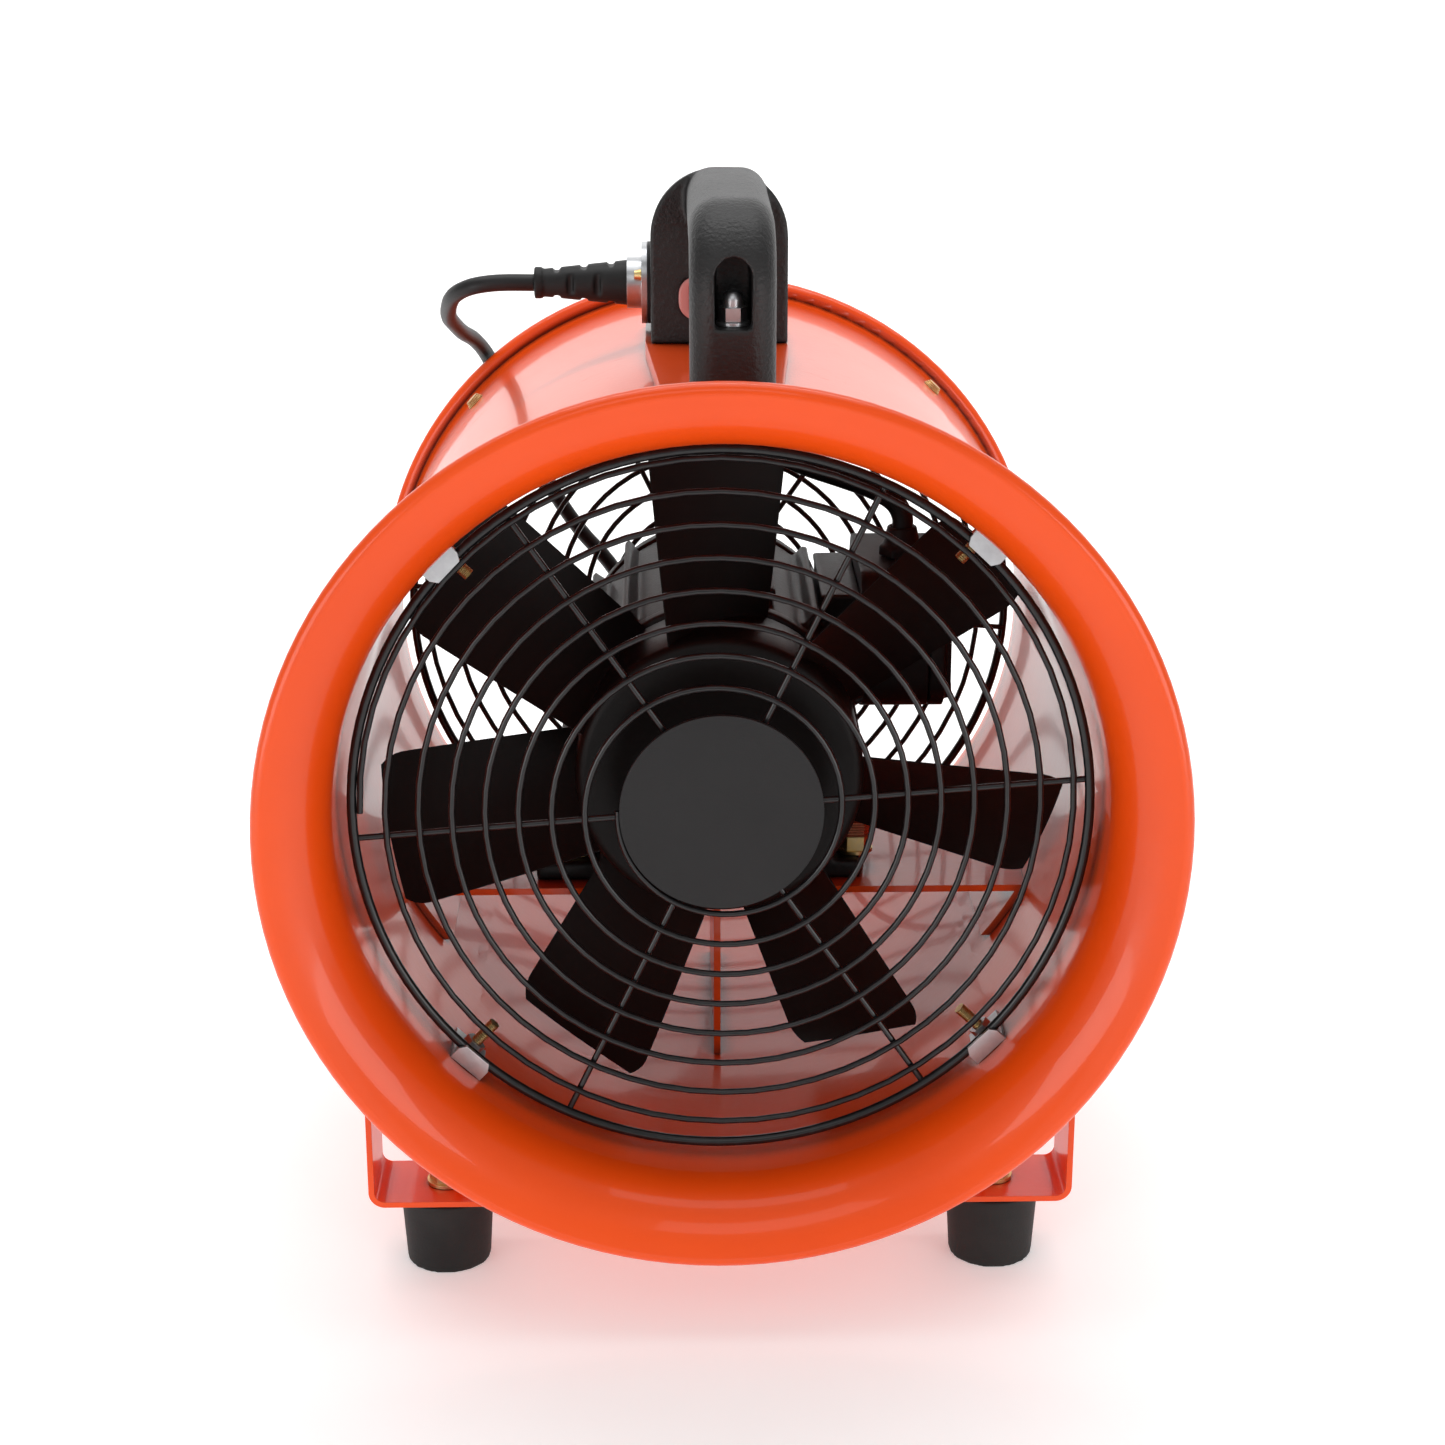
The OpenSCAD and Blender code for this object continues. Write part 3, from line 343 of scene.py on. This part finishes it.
# Along the grip from the lead to the pins: (distance, width, height), as shares of the whole
plug_shapes = [
    (0.00, 0.33, 0.38), (0.05, 0.36, 0.42), (0.12, 0.38, 0.44), (0.20, 0.42, 0.48), (0.28, 0.50, 0.56),
    (0.34, 0.64, 0.70), (0.40, 0.80, 0.86), (0.46, 0.90, 0.95), (0.52, 0.88, 0.93), (0.57, 0.92, 0.96),
    (0.62, 0.88, 0.93), (0.67, 0.92, 0.96), (0.72, 0.88, 0.93), (0.77, 0.93, 0.97), (0.84, 0.98, 0.99),
    (0.92, 1.00, 1.00), (0.97, 0.99, 0.99), (1.00, 0.93, 0.94)]
plug_rings = []
for along, wide, high in plug_shapes:
    ring = []
    for k in range(ring_sides):
        square = 0.55 + 0.45 * (1 - min(along / 0.4, 1))
        across, up = rounded(2 * math.pi * k / ring_sides, square)
        ring.append(Vector((plug_mid.x + plug_half.x * wide * across,
                            plug_high.y - (plug_high.y - plug_low.y) * along,
                            plug_mid.z + plug_half.z * high * up)))
    plug_rings.append(ring)
plug = loft("plug_grip", plug_rings, lead_rubber)
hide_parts("plug_body")


def bare_metal(name, colour, tint, rough, brushed=(1, 1, 1), thread=None):
    """Plated or machined metal, slightly uneven in tone, with fine marks and softened corners,
    or with a thread: its pitch, and a function that gives the finish's distance along the screw"""
    made = Finish(name, Metallic=1.0)
    cloud = made.noise(0.007, 4.0, 0.6)
    lines = made.noise(0.0007, 3.0, 0.6, brushed)
    made.set(Base_Color=made.mix(cloud.band(0.3, 0.75), colour, tint),
             Roughness=rough + cloud * 0.14 + lines * 0.08)
    if thread:
        pitch, distance = thread
        turns = {0: distance(made) * (2 * math.pi / pitch)}
        made.relief(made.node("ShaderNodeMath", {"operation": "SINE"}, turns), 0.00022)
    else:
        made.relief(lines, 0.00002, 0.0003)
    return made


pin_brass = bare_metal("pin_brass", (0.80, 0.58, 0.25, 1), (0.66, 0.43, 0.16, 1),
                       rough=0.2, brushed=(1, 0.2, 1))
pin_brass.on("plug_pins")


# Duct, motor shelf, stands and handle bracket: folded and spun sheet steel under one
# gloss orange powder coat, with the faint ripple that such a coat dries with.
orange = Finish("orange_powder_coat", Coat_Weight=0.4, Coat_Roughness=0.06, Coat_IOR=1.5,
                Specular_IOR_Level=0.25)
tone_cloud = orange.noise(0.09, 3.0)
orange_peel = orange.noise(0.0028, 2.0, 0.45)
scuffs = orange.noise(0.02, 5.0, 0.75, (1, 3, 1)).band(0.62, 0.78)
# Painted shade: where an ambient occlusion node finds the coat hemmed in within 12 mm, as in the groove
# inside the rear bead and at joints between parts, its colour goes to a near black red.
crevice_shade_ao = orange.node("ShaderNodeAmbientOcclusion", {"samples": 6}, {"Distance": 0.012}, 1)
tone = orange.mix(tone_cloud.band(0.35, 0.7) * 0.6, (0.86, 0.078, 0.003, 1), (0.78, 0.064, 0.002, 1))
tone = orange.mix(orange.corners(0.0009) * 0.3, tone, (0.88, 0.14, 0.03, 1))
painted_crevice_shade = (0.05, 0.007, 0.004, 1)
orange.set(Base_Color=orange.mix(crevice_shade_ao.band(0.42, 0.82), painted_crevice_shade, tone),
           Roughness=0.3 + tone_cloud * 0.06 + scuffs * 0.12)
orange.relief(orange_peel, 0.00005, 0.0006)
orange.on("duct_housing", "motor_shelf", "shelf_rib", "front_stand", "rear_stand", "handle_bracket")


# Feet: four tapered rubber feet under the stands, each on an M8 bolt with its head sunk
# in the rubber and a yellow zinc flange nut on top of the strap.
def moulded(node, name, finish, voxel, passes, body="housing"):
    """A moulded or cast piece with the soft corners of its mould, in place of a frame node"""
    piece = placed(name, nodes[node].data.copy())
    remesh = piece.modifiers.new("skin", "REMESH")
    remesh.mode = "VOXEL"
    remesh.voxel_size = voxel
    soften = piece.modifiers.new("soften", "SMOOTH")
    soften.factor = 0.5
    soften.iterations = passes
    shaped = piece.evaluated_get(bpy.context.evaluated_depsgraph_get())
    piece.data = bpy.data.meshes.new_from_object(shaped)
    piece.modifiers.clear()
    smooth(piece.data)
    piece.data.materials.clear()
    piece.data.materials.append(finish.material)
    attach(piece, body)
    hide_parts(node)
    return piece


foot_rubber = moulding("foot_rubber", (0.008, 0.0075, 0.0075, 1), (0.03, 0.028, 0.026, 1),
                       rough=0.55, grain=0.0008, depth=0.0001)
for corner in ("front_left", "front_right", "rear_left", "rear_right"):
    foot = moulded("foot_" + corner, "rubber_foot_" + corner, foot_rubber, voxel=0.0009, passes=5)
yellow_zinc = bare_metal("yellow_zinc", (0.78, 0.55, 0.20, 1), (0.62, 0.52, 0.30, 1), rough=0.26)
yellow_zinc.on("foot_bolts", "foot_nuts", "motor_bolts", "motor_nuts", "gland_screws")

# Guards: one steel wire wound in a spiral from the middle to the rim, welded to a
# heavier rim, a small inner ring and six spokes behind it, then dipped in gloss black.
wire_black = Finish("wire_black", Coat_Weight=0.4, Coat_Roughness=0.1, Specular_IOR_Level=0.3)
runs_in_coat = wire_black.noise(0.004, 3.0)
wire_black.set(Base_Color=wire_black.mix(runs_in_coat.band(0.4, 0.8), (0.004, 0.004, 0.0045, 1),
                                         (0.009, 0.009, 0.01, 1)),
               Roughness=0.24 + runs_in_coat * 0.16)
wire_black.relief(wire_black.noise(0.0012, 2.0), 0.00004)
spiral_thick = 0.0026
rim_thick = 0.004
spiral_pitch = 0.0133
spiral_turns = 8
spiral_steps = 60
ring_steps = 120
inner_ring = 0.036
spoke_count = 6
spoke_turn = math.radians(4.5)
spoke_drop = 0.0023
spoke_past = 0.004
rim_back = 0.001


def guard(name, node, towards):
    """A guard in place of a node: towards is -1 for the front's and 1 for the rear's"""
    low, high = (Vector(corner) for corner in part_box(node))
    rim = (high.x - low.x) / 2 - rim_thick / 2
    face_y = low.y + spiral_thick / 2 if towards < 0 else high.y - spiral_thick / 2

    def at(radius, turn, back):
        return Vector((-towards * radius * math.cos(turn), face_y - towards * back,
                       axis_z + radius * math.sin(turn)))

    def ring(radius, back, share):
        return [at(radius, 2 * math.pi * k / ring_steps, back) for k in range(ring_steps)], True, share

    spiral = []
    for k in range(spiral_steps * spiral_turns + 1):
        turns = k / spiral_steps
        radius = min(rim - spiral_pitch * (spiral_turns - turns), rim - (rim_thick + spiral_thick) / 2)
        spiral.append(at(radius, math.pi + 2 * math.pi * turns, 0))
    runs = [(spiral, False, 1), ring(inner_ring, 0, 1), ring(rim, rim_back, rim_thick / spiral_thick)]
    for k in range(spoke_count):
        turn = spoke_turn + 2 * math.pi * k / spoke_count
        runs.append(([at(inner_ring - spoke_past, turn, spoke_drop), at(rim, turn, spoke_drop)], False, 1))
    piece = round_wire(name, runs, spiral_thick, wire_black)
    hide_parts(node)


guard("front_guard_wires", "front_guard", -1)
guard("rear_guard_wires", "rear_guard", 1)

# Guard discs: flat plates in satin dark grey over the middle of each guard, fixed to its
# inner ring.
disc_grey = moulding("disc_grey", (0.013, 0.0125, 0.013, 1), (0.018, 0.0175, 0.018, 1),
                     rough=0.5, grain=0.0007, depth=0.00003)
disc_grey.on("front_guard_disc", "rear_guard_disc")

# Clips: hooked strips of zinc plated spring steel inside the duct, four to a guard, each
# held by a screw through the duct wall and a plain hexagon nut.
def from_fan_axis(finish):
    """The distance from the fan axis, which is the distance along a screw in the duct wall"""
    return (finish.along(0) ** 2 + (finish.along(2) - axis_z) ** 2) ** 0.5


zinc = bare_metal("zinc_plate", (0.60, 0.61, 0.62, 1), (0.46, 0.47, 0.49, 1), rough=0.24)
clip_brass = bare_metal("clip_screw_zinc", (0.74, 0.50, 0.18, 1), (0.56, 0.42, 0.22, 1),
                        rough=0.25, thread=(0.0009, from_fan_axis))
clip_brass.on("clip_screws")
zinc.on("front_guard_clips", "rear_guard_clips", "clip_nuts", "end_bell_screws", "capacitor_lid_screws",
        "hub_bolt", "cover_screws", "switch_box_screws", "handle_bolt", "handle_washer", "acorn_nut",
        "gland_plate")

# Motor: ribbed cast aluminium barrel and end covers in satin black enamel, bolted to the
# shelf by its feet, with a copper earth stud at the front right foot.
enamel = Finish("motor_enamel", Coat_Weight=0.12, Coat_Roughness=0.16, Specular_IOR_Level=0.25)
cast_skin = enamel.noise(0.0022, 4.0, 0.65)
enamel.set(Base_Color=enamel.mix(cast_skin.band(0.4, 0.8), (0.007, 0.007, 0.0075, 1),
                                 (0.014, 0.014, 0.015, 1)),
           Roughness=0.46 + cast_skin * 0.16)
enamel.relief(cast_skin, 0.00012, 0.0006)
for node in ("motor_body", "motor_front_bell", "motor_rear_bell"):
    moulded(node, node + "_casting", enamel, voxel=0.0013, passes=3)
copper = bare_metal("copper", (0.78, 0.36, 0.20, 1), (0.62, 0.26, 0.14, 1), rough=0.24)
copper.on("stator_windings")
stud_copper = bare_metal("earth_stud_copper", (0.62, 0.30, 0.18, 1), (0.44, 0.19, 0.11, 1),
                         rough=0.2, thread=(0.00125, lambda finish: finish.along(2)))
stud_copper.on("earth_stud")
steel = bare_metal("machined_steel", (0.55, 0.55, 0.56, 1), (0.46, 0.46, 0.47, 1),
                   rough=0.22, brushed=(1, 0.1, 1))
steel.on("motor_shaft", "shaft_key", "front_bearing", "rear_bearing", "rotor_core", "stator_core")

# Impeller: hub and seven twisted blades in one black glass filled moulding, keyed to the
# motor shaft. The blades are thickest in the middle and have rounded tip corners.
impeller_plastic = moulding("impeller_plastic", (0.005, 0.0036, 0.0034, 1), (0.009, 0.007, 0.0066, 1),
                            rough=0.36, grain=0.0012, depth=0.00005, Specular_IOR_Level=0.16)
hub_front = lip_y + 0.082
hub_length = 0.045
hub_radius = 0.060
hub_inside = 0.056
boss_radius = 0.016
bore_radius = 0.0072
root_radius = hub_radius - 0.002
tip_radius = 0.144
blade_mid = hub_front + hub_length / 2 + 0.002
blade_count = 7
root_chord = 0.060
tip_chord = 0.068
root_pitch = 45
tip_pitch = 30
blade_camber = 0.004
blade_half = 0.0013
corner_from = 0.88


def blade_point(out, along, side, turn):
    """out is 0 at the hub and 1 at the tip; along is from -0.5 to 0.5 over the chord"""
    radius = root_radius + (tip_radius - root_radius) * out
    corner = max(out - corner_from, 0) / (1 - corner_from)
    chord = (root_chord + (tip_chord - root_chord) * out) * (1 - 0.13 * corner ** 2.4)
    pitch = math.radians(root_pitch + (tip_pitch - root_pitch) * out)
    camber = blade_camber * (1 - 4 * along * along)
    half = blade_half * (1 - 3 * along * along) * (1 - 0.3 * out)
    across = chord * along * math.cos(pitch) + (camber + side * half) * math.sin(pitch)
    depth = -chord * along * math.sin(pitch) + (camber + side * half) * math.cos(pitch)
    angle = turn + across / radius
    return Vector((radius * math.cos(angle), blade_mid + depth, axis_z + radius * math.sin(angle)))


impeller_points = []
impeller_faces = []
outs = [0, 0.04, 0.1, 0.2, 0.32, 0.44, 0.56, 0.68, 0.78, 0.86, 0.9, 0.93, 0.96, 0.98, 1]
chord_steps = 16
alongs = [-0.5 * math.cos(math.pi * k / chord_steps) for k in range(chord_steps + 1)]
loop = [(u, 1) for u in alongs] + [(u, -1) for u in reversed(alongs)]
for blade in range(blade_count):
    turn = math.pi / 2 + 2 * math.pi * blade / blade_count
    start = len(impeller_points)
    for out in outs:
        impeller_points += [blade_point(out, along, side, turn) for along, side in loop]
    n = len(loop)
    for s in range(len(outs) - 1):
        for k in range(n):
            a, b = start + s * n + k, start + s * n + (k + 1) % n
            impeller_faces.append((a, b, b + n, a + n))
    tip = start + (len(outs) - 1) * n
    for k in range(chord_steps):
        impeller_faces.append((tip + k, tip + k + 1, tip + n - 2 - k, tip + n - 1 - k))
        impeller_faces.append((start + k, start + n - 1 - k, start + n - 2 - k, start + k + 1))
# Hub, turned: (radius, depth behind its front face) from the middle of the front round to the back
hub_outline = [
    (0.010, 0), (0.020, 0), (0.022, 0.0008), (0.040, 0.0008), (0.042, 0), (hub_radius - 0.0045, 0),
    (hub_radius - 0.0022, 0.0006), (hub_radius - 0.0006, 0.0022), (hub_radius, 0.0045),
    (hub_radius, hub_length - 0.001), (hub_radius - 0.0005, hub_length), (hub_inside + 0.0005, hub_length),
    (hub_inside, hub_length - 0.0005), (hub_inside, 0.008), (hub_inside - 0.003, 0.005),
    (boss_radius + 0.003, 0.005), (boss_radius, 0.008), (boss_radius, hub_length - 0.001),
    (boss_radius - 0.0005, hub_length), (bore_radius, hub_length), (bore_radius, 0.008)]
start = len(impeller_points)
around = 96
for k in range(around):
    angle = 2 * math.pi * k / around
    for radius, depth in hub_outline:
        impeller_points.append(Vector((radius * math.cos(angle), hub_front + depth,
                                       axis_z + radius * math.sin(angle))))
n = len(hub_outline)
for k in range(around):
    here, there = start + k * n, start + (k + 1) % around * n
    for i in range(n - 1):
        impeller_faces.append((here + i, here + i + 1, there + i + 1, there + i))
impeller_faces.append(tuple(start + k * n for k in range(around)))
impeller_faces.append(tuple(start + k * n + n - 1 for k in reversed(range(around))))
impeller = mesh_piece("impeller_moulding", impeller_points, impeller_faces, impeller_plastic, "impeller")
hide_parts("impeller")

# Capacitor box: a moulded box screwed to the motor's right side, with its lid, a cable
# gland on top and the capacitor inside.
case_black = moulding("case_black", (0.008, 0.008, 0.009, 1), (0.02, 0.02, 0.021, 1),
                      rough=0.48, grain=0.0009, depth=0.00005)
for node in ("capacitor_box", "capacitor_lid", "capacitor_gland"):
    moulded(node, node + "_moulding", case_black, voxel=0.0008, passes=3)
can = bare_metal("drawn_can", (0.72, 0.73, 0.74, 1), (0.62, 0.63, 0.64, 1), rough=0.2, brushed=(1, 0.1, 1))
can.on("run_capacitor")

# Motor cable: round black cable from the gland up through a rubber grommet in the duct
# wall into the switch box, bent in one easy curve.
cable_route = [
    (0.084, 0.204, 0.058), (0.084, 0.204, 0.072), (0.084, 0.204, 0.080), (0.080, 0.204, 0.087),
    (0.070, 0.204, 0.093), (0.056, 0.205, 0.098), (0.041, 0.206, 0.103), (0.028, 0.208, 0.109),
    (0.018, 0.209, 0.117), (0.012, 0.209, 0.128), (0.010, 0.209, 0.140), (0.010, 0.209, 0.154),
    (0.010, 0.209, 0.168)]
cable_thick = 0.0095
cable_points = flowing([behind_lip(*point) for point in cable_route], 6)
cable = round_wire("motor_cable_sheath", [(cable_points, False, 1)], cable_thick, lead_rubber)
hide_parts("motor_cable")
seal_rubber = moulding("seal_rubber", (0.006, 0.006, 0.0065, 1), (0.018, 0.018, 0.018, 1),
                       rough=0.48, grain=0.0009, depth=0.00005)
seal_rubber.on("duct_grommet", "gland_gasket")

# Handle: front leg, grip and switch box in one moulding of grained dark grey nylon, with
# a screwed rear cover. The front leg is pulled down by a bolt with an acorn nut.
grained = moulding("handle_nylon", (0.007, 0.0066, 0.0068, 1), (0.016, 0.0155, 0.016, 1),
                   rough=0.42, grain=0.0016, depth=0.0004, Specular_IOR_Level=0.45)
handle = moulded("handle_body", "handle_moulding", grained, voxel=0.0009, passes=6)
cover = moulded("switch_box_cover", "rear_cover_moulding", grained, voxel=0.0007, passes=3)

# Switch: a red rocker that turns on its own pins in a pink translucent bezel, which is
# clipped into the front of the box.
bezel_pink = moulding("bezel_pink", (0.80, 0.30, 0.28, 1), (0.86, 0.42, 0.38, 1),
                      rough=0.12, grain=0.003, depth=0.00001, Transmission_Weight=0.3, IOR=1.49)
bezel = moulded("switch_bezel", "bezel_moulding", bezel_pink, voxel=0.0005, passes=3)
rocker_red = moulding("rocker_red", (0.62, 0.012, 0.010, 1), (0.70, 0.03, 0.02, 1),
                      rough=0.14, grain=0.003, depth=0.00001, Coat_Weight=0.5, Coat_Roughness=0.05)
rocker = moulded("switch_rocker", "rocker_moulding", rocker_red, voxel=0.0004, passes=3, body="rocker")

# Cord entry: a zinc plate and collar with a rubber gasket on the left of the box, and a
# tapered rubber strain relief with slots so that it bends evenly.
relief = moulded("strain_relief", "strain_relief_moulding", seal_rubber, voxel=0.0006, passes=4)

# Studio: a pale paper floor that runs up into a backdrop, with soft lights overhead, at
# the front above and to each side, and one on the backdrop alone.
paper = Finish("backdrop_paper", Specular_IOR_Level=0.2, Emission_Color=(1, 1, 1, 1), Emission_Strength=0.3)
fibres = paper.noise(0.02, 3.0)
paper.set(Base_Color=paper.mix(fibres, (0.90, 0.90, 0.90, 1), (0.93, 0.93, 0.93, 1)),
          Roughness=0.6 + fibres * 0.1)
floor_front = -4
floor_half = 5
cove_from = 2.0
cove_radius = 1.2
cove_steps = 9
backdrop_top = 4.5
cove = [(floor_front, 0), (cove_from, 0)]
for k in range(1, cove_steps + 1):
    angle = math.pi / 2 * k / cove_steps
    cove.append((cove_from + cove_radius * math.sin(angle), cove_radius * (1 - math.cos(angle))))
cove.append((cove_from + cove_radius, backdrop_top))
floor_mesh = bpy.data.meshes.new("floor")
floor_mesh.from_pydata([(x, y, z) for y, z in cove for x in (-floor_half, floor_half)], [],
                       [(2 * i, 2 * i + 1, 2 * i + 3, 2 * i + 2) for i in range(len(cove) - 1)])
smooth(floor_mesh)
floor_mesh.materials.append(paper.material)
floor = placed("floor", floor_mesh)


def soft_light(name, place, target, wide, high, power):
    """A rectangular light of a power in watts, turned towards a target"""
    lamp = bpy.data.lights.new(name, "AREA")
    lamp.shape = "RECTANGLE"
    lamp.size = wide
    lamp.size_y = high
    lamp.energy = power
    light = placed(name, lamp)
    light.location = place
    light.rotation_euler = (target - place).to_track_quat("-Z", "Y").to_euler()


middle = Vector((0, 0, axis_z))
soft_light("overhead", Vector((0, 0.1, 2.2)), middle, 1.8, 1.8, 13)
soft_light("front_top", Vector((-0.2, -1.9, 1.6)), middle, 1.2, 0.7, 3.5)
soft_light("front_left", Vector((-1.0, -1.1, 0.3)), middle, 0.8, 0.6, 4.8)
soft_light("front_right", Vector((1.0, -1.1, 0.3)), middle, 0.8, 0.6, 4.8)
soft_light("backdrop", Vector((0, 0.5, 2.4)), Vector((0, 3.1, 0.8)), 4.0, 0.8, 70)
world = bpy.data.worlds.new("studio")
world.use_nodes = True
sky = world.node_tree.nodes["Background"]
sky.inputs["Color"].default_value = (1, 1, 1, 1)
sky.inputs["Strength"].default_value = 0.36
bpy.context.scene.world = world
bpy.context.scene.view_settings.view_transform = "Standard"
